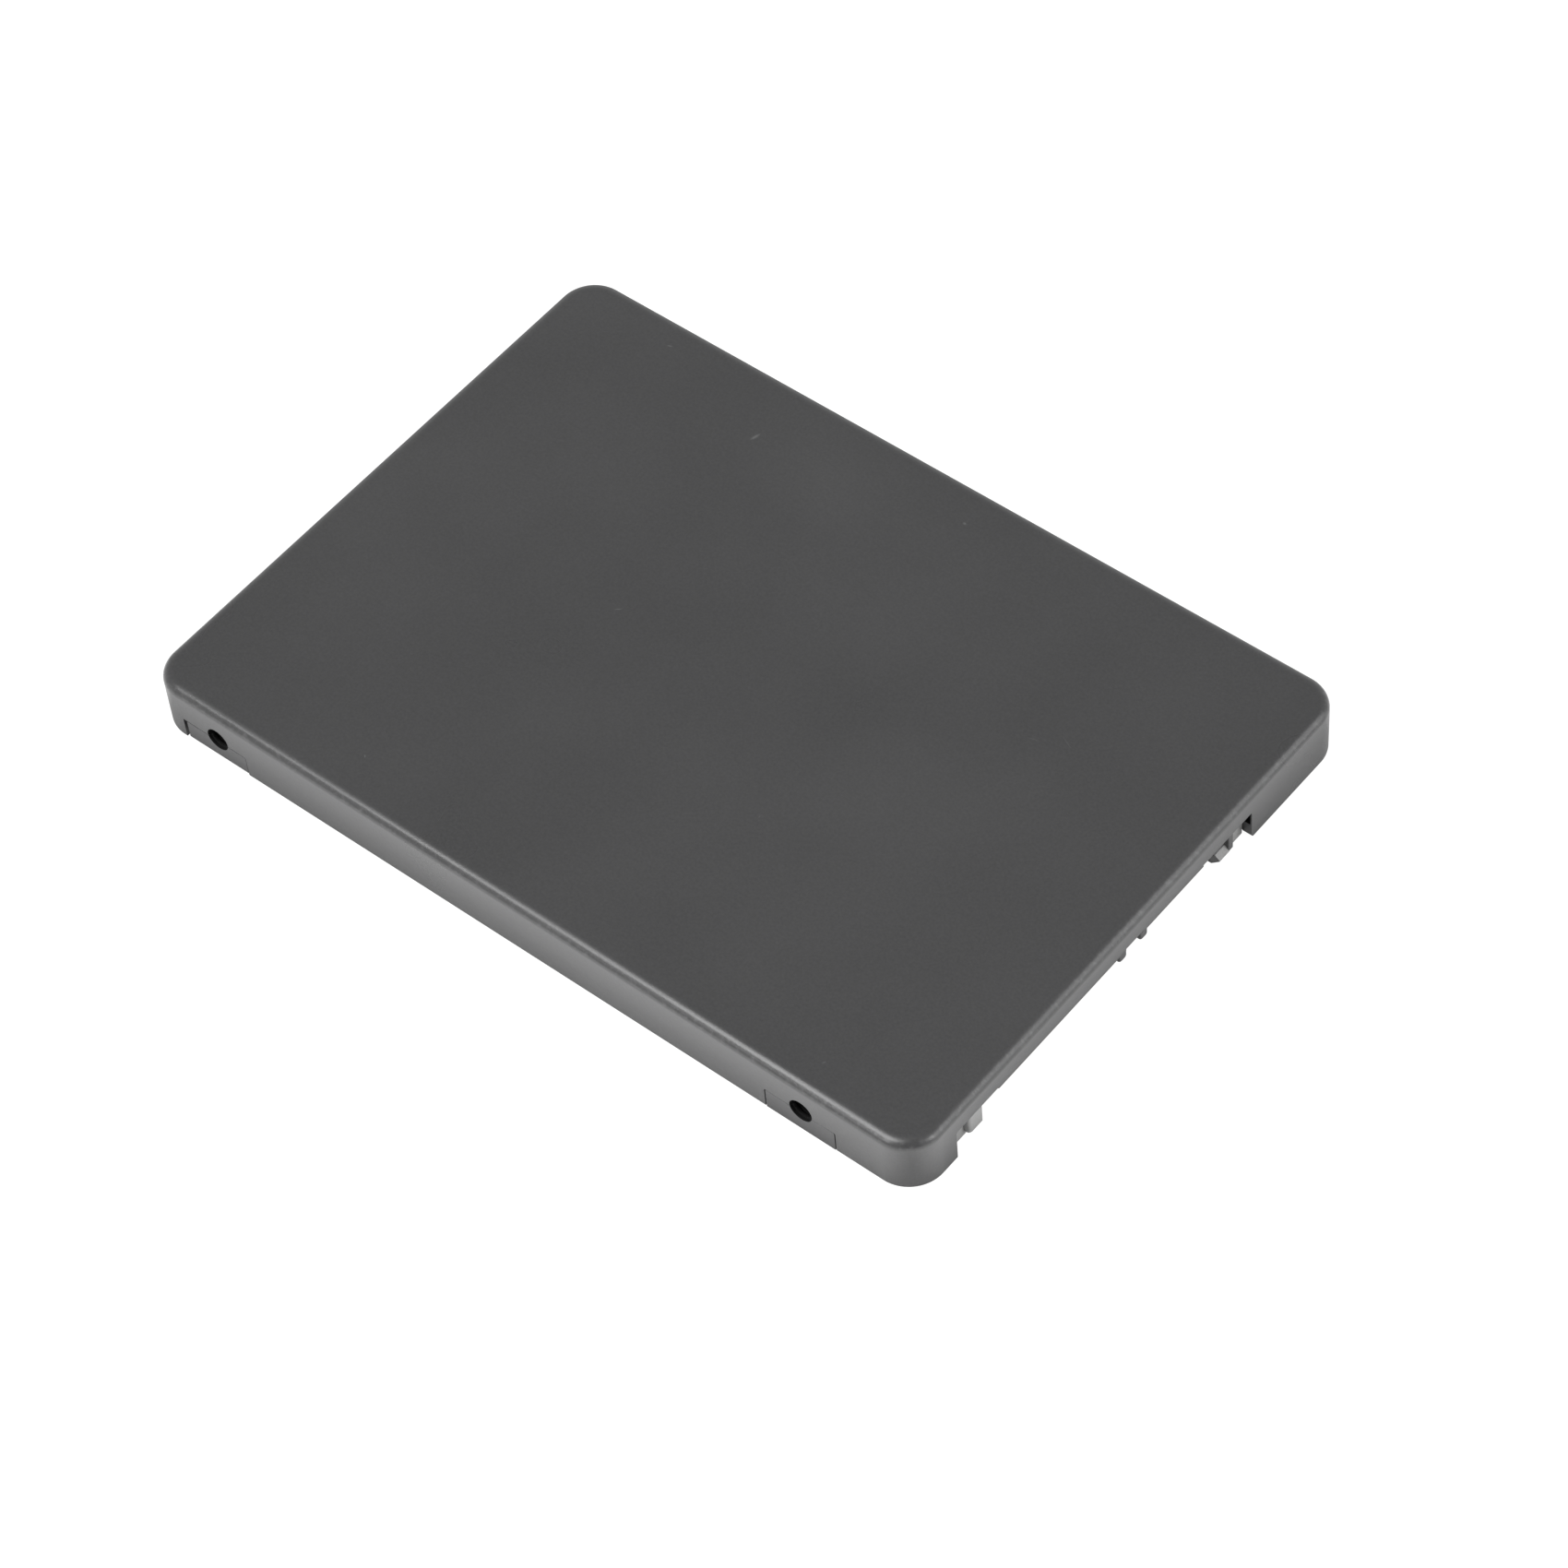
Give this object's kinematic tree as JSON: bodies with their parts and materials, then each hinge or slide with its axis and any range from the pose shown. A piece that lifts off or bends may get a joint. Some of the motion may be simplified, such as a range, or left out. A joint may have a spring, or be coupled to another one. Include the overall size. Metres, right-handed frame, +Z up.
{
  "type": "solid state drive",
  "caption": "Slim 2.5-inch solid state drive: dark satin snap-fit case, plain top, side screw holes and a recessed SATA plug.",
  "frame": {"origin": "centre of the bottom face", "axes": "+X towards the SATA connector end, +Y across the drive with the power contacts on the -Y side, +Z up through the plain top cover"},
  "size_m": [0.1, 0.0698, 0.007],
  "materials": {
    "case_plastic": "fine satin texture, dark neutral grey, slightly brighter grain on the rim",
    "base_plastic": "moulded satin, dark neutral grey",
    "plug_plastic": "glass-filled light grey moulding",
    "contact_gold": "gold-plated, bright",
    "tinned_steel": "tinned, dull bright",
    "board_laminate": "green solder mask on glass laminate, semi-gloss",
    "chip_epoxy": "moulded black epoxy, fine matt",
    "inductor_ferrite": "pressed ferrite powder, matt",
    "capacitor_ceramic": "fired ceramic with tinned ends",
    "capacitor_polymer": "moulded dark case",
    "crystal_can": "seam-welded metal lid",
    "zinc_screw": "bright zinc plate",
    "thermal_pad": "soft silicone pad, matt",
    "label_film": "blank polyester label, matt silver-grey"
  },
  "bodies": {
    "base_unit": {"base_shell": "base_plastic", "main_pcb": "board_laminate", "sata_plug_housing": "plug_plastic", "sata_contact_s1": "contact_gold", "sata_contact_s2": "contact_gold", "sata_contact_s3": "contact_gold", "sata_contact_s4": "contact_gold", "sata_contact_s5": "contact_gold", "sata_contact_s6": "contact_gold", "sata_contact_s7": "contact_gold", "sata_contact_p1": "contact_gold", "sata_contact_p2": "contact_gold", "sata_contact_p3": "contact_gold", "sata_contact_p4": "contact_gold", "sata_contact_p5": "contact_gold", "sata_contact_p6": "contact_gold", "sata_contact_p7": "contact_gold", "sata_contact_p8": "contact_gold", "sata_contact_p9": "contact_gold", "sata_contact_p10": "contact_gold", "sata_contact_p11": "contact_gold", "sata_contact_p12": "contact_gold", "sata_contact_p13": "contact_gold", "sata_contact_p14": "contact_gold", "sata_contact_p15": "contact_gold", "board_lock_power_end": "tinned_steel", "board_lock_signal_end": "tinned_steel", "controller_chip": "chip_epoxy", "dram_chip": "chip_epoxy", "nand_flash_1": "chip_epoxy", "nand_flash_2": "chip_epoxy", "nand_flash_3": "chip_epoxy", "nand_flash_4": "chip_epoxy", "firmware_flash_chip": "chip_epoxy", "power_management_chip": "chip_epoxy", "power_inductor_1": "inductor_ferrite", "power_inductor_2": "inductor_ferrite", "polymer_capacitor_1": "capacitor_polymer", "polymer_capacitor_2": "capacitor_polymer", "crystal_oscillator": "crystal_can", "ceramic_capacitor_1": "capacitor_ceramic", "ceramic_capacitor_2": "capacitor_ceramic", "ceramic_capacitor_3": "capacitor_ceramic", "ceramic_capacitor_4": "capacitor_ceramic", "board_screw_1": "zinc_screw", "board_screw_2": "zinc_screw", "board_screw_3": "zinc_screw", "board_screw_4": "zinc_screw", "bottom_label": "label_film"},
    "cover_unit": {"top_cover": "case_plastic", "thermal_pad": "thermal_pad"}
  },
  "joints": [
    {"name": "cover_lift", "type": "slide", "parent": "base_unit", "child": "cover_unit", "axis": [0, 0, 1], "range_m": [0, 0.03]}
  ]
}
